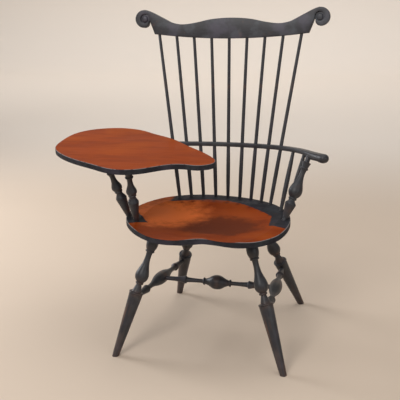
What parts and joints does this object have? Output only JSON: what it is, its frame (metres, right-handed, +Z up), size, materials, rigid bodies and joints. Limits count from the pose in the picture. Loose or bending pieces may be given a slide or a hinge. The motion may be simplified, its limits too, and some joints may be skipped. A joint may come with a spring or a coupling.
{
  "type": "writing arm windsor chair",
  "caption": "Windsor armchair with turned splayed legs, tall spindle back, scrolled crest rail, bent arm rail and a broad teardrop writing tablet in place of one arm.",
  "frame": {"origin": "on the floor under the middle of the whole chair's box", "axes": "+Z up, the sitter faces -Y, +X is the sitter's left, the writing tablet is on the -X side"},
  "size_m": [0.9836, 0.6012, 1.1044],
  "materials": {
    "black_paint": "satin black paint over turned wood, rubbed brown at edges and feet",
    "seat_paint": "worn glossy red-brown paint on the dished top, black edge and rear band",
    "tablet_paint": "worn glossy red-brown paint on top, black edge",
    "screw_steel": "plain dull steel",
    "bare_pegs": "wooden pegs, cut flush and painted over"
  },
  "bodies": {
    "root": {"seat": "seat_paint", "writing_tablet": "tablet_paint", "tablet_screws": "screw_steel", "crest_pins": "bare_pegs", "leg_front_right": "black_paint", "leg_back_right": "black_paint", "leg_front_left": "black_paint", "leg_back_left": "black_paint", "side_stretcher_right": "black_paint", "side_stretcher_left": "black_paint", "medial_stretcher": "black_paint", "arm_rail": "black_paint", "arm_knuckle": "black_paint", "arm_post": "black_paint", "tablet_post_outer": "black_paint", "tablet_post_inner": "black_paint", "long_spindle_1": "black_paint", "long_spindle_2": "black_paint", "long_spindle_3": "black_paint", "long_spindle_4": "black_paint", "long_spindle_5": "black_paint", "long_spindle_6": "black_paint", "long_spindle_7": "black_paint", "long_spindle_8": "black_paint", "long_spindle_9": "black_paint", "short_spindle_1": "black_paint", "short_spindle_2": "black_paint", "crest_rail": "black_paint"}
  },
  "joints": []
}
